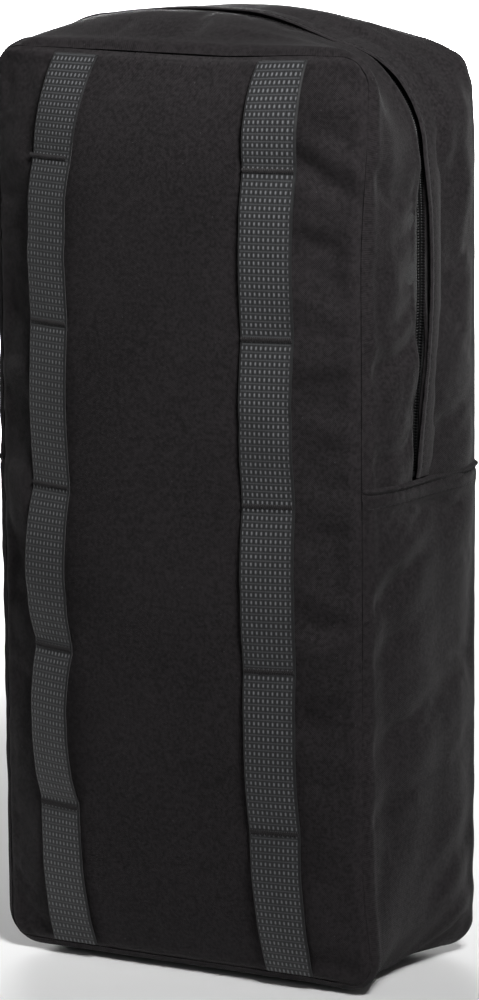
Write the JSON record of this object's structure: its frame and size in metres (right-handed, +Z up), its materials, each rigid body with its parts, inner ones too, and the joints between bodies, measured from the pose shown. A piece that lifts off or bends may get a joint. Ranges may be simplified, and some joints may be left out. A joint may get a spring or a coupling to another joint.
{
  "type": "zipped equipment pouch",
  "caption": "Tall stuffed box pouch in black coated nylon: zipped fold-down upper front, two webbing ladders on the front panel, stiffened flat back.",
  "frame": {"origin": "on the base at the middle of the width, in the plane midway between the front seam and the back", "axes": "+Z up, the front panel faces -Y, the flat back faces +Y, +X is the side to the right when looking at the front"},
  "size_m": [0.2267, 0.1321, 0.4676],
  "materials": {
    "shell_cloth": "matt coated plain-weave nylon",
    "lining_cloth": "smooth coated nylon",
    "stiffener": "closed-cell foam sheet",
    "binding_tape": "ribbed tape",
    "zip_tape": "knitted tape",
    "zip_coil": "satin nylon coil",
    "zip_metal": "black lacquered zinc",
    "webbing": "ribbed nylon webbing",
    "thread": "bonded nylon thread"
  },
  "bodies": {
    "pouch": {"back_panel": "shell_cloth", "back_stiffener": "stiffener", "back_lining": "lining_cloth", "back_binding_lower": "binding_tape", "back_binding_upper": "binding_tape", "rear_gusset": "shell_cloth", "lower_gusset": "shell_cloth", "front_panel_lower": "shell_cloth", "front_binding_lower": "binding_tape", "zip_tape_rear": "zip_tape", "zip_coil_rear": "zip_coil", "zip_flap": "shell_cloth", "zip_stop_left": "zip_metal", "zip_stop_right": "zip_metal", "ladder_left_lower": "webbing", "ladder_right_lower": "webbing", "bartack_left_1": "thread", "bartack_left_2": "thread", "bartack_left_3": "thread", "bartack_right_1": "thread", "bartack_right_2": "thread", "bartack_right_3": "thread"},
    "lid": {"front_panel_upper": "shell_cloth", "front_panel_fold": "shell_cloth", "front_gusset": "shell_cloth", "gusset_fold_left": "shell_cloth", "gusset_fold_right": "shell_cloth", "front_binding_upper": "binding_tape", "binding_fold_left": "binding_tape", "binding_fold_right": "binding_tape", "zip_tape_front": "zip_tape", "zip_tape_fold_left": "zip_tape", "zip_tape_fold_right": "zip_tape", "zip_coil_front": "zip_coil", "zip_coil_fold_left": "zip_coil", "zip_coil_fold_right": "zip_coil", "ladder_left_fold": "webbing", "ladder_left_upper": "webbing", "ladder_right_fold": "webbing", "ladder_right_upper": "webbing", "bartack_left_4": "thread", "bartack_left_5": "thread", "bartack_right_4": "thread", "bartack_right_5": "thread"},
    "slider": {"zip_slider": "zip_metal", "slider_bail": "zip_metal"},
    "pull": {"zip_pull": "zip_metal"}
  },
  "joints": [
    {"name": "lid_fold", "type": "hinge", "parent": "pouch", "child": "lid", "pos_m": [0, -0.004, 0.249], "axis": [1, 0, 0], "range_deg": [0, 90], "deforming": ["front_panel_fold", "gusset_fold_left", "gusset_fold_right", "binding_fold_left", "binding_fold_right", "zip_tape_fold_left", "zip_tape_fold_right", "zip_coil_fold_left", "zip_coil_fold_right", "ladder_left_fold", "ladder_right_fold", "bartack_left_4", "bartack_right_4"]},
    {"name": "zip_slide", "type": "slide", "parent": "pouch", "child": "slider", "axis": [0, 0, 1], "range_m": [0, 0.128]},
    {"name": "pull_swing", "type": "hinge", "parent": "slider", "child": "pull", "pos_m": [-0.11145, -0.004, 0.27485], "axis": [0, 1, 0], "range_deg": [0, 150]}
  ]
}
